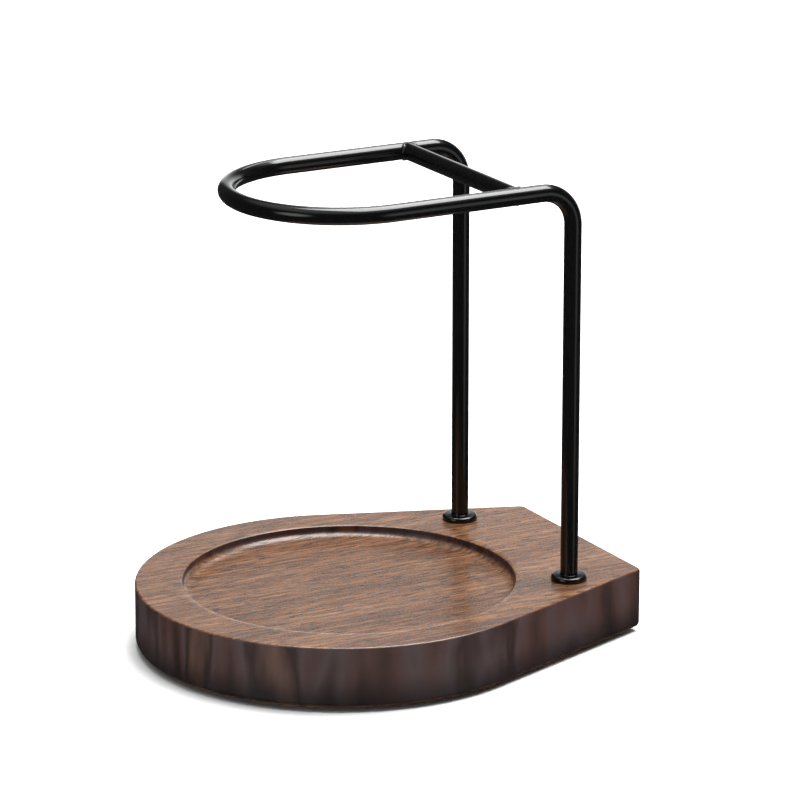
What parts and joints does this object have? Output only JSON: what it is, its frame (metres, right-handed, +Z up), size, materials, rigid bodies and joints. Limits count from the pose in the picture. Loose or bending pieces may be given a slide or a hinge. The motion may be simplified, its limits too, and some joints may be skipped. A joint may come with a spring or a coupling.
{
  "type": "razor stand",
  "caption": "Teardrop wooden base with a round dish in its top and a bent black wire frame whose level fork, closed by a half-round loop, hangs over the dish.",
  "frame": {"origin": "on the surface the stand rests on, midway along the board's length and width", "axes": "+Z up, -Y towards the round nose of the board and the open end of the loop, +Y towards the posts, X across"},
  "size_m": [0.15, 0.1746, 0.1709],
  "materials": {
    "walnut": "oiled black walnut, satin, grain running front to back",
    "black_coat": "semi-gloss black coating on round steel rod",
    "zinc_steel": "bright zinc plating",
    "pad_rubber": "matt soft rubber"
  },
  "bodies": {
    "root": {"base_board": "walnut", "wire_frame": "black_coat", "crossbar": "black_coat", "weld_front_left": "black_coat", "weld_front_right": "black_coat", "weld_rear_left": "black_coat", "weld_rear_right": "black_coat", "collar_left": "black_coat", "collar_right": "black_coat", "washer_left": "zinc_steel", "washer_right": "zinc_steel", "nut_left": "zinc_steel", "nut_right": "zinc_steel", "foot_pad_front_left": "pad_rubber", "foot_pad_front_right": "pad_rubber", "foot_pad_rear_left": "pad_rubber", "foot_pad_rear_right": "pad_rubber"}
  },
  "joints": []
}
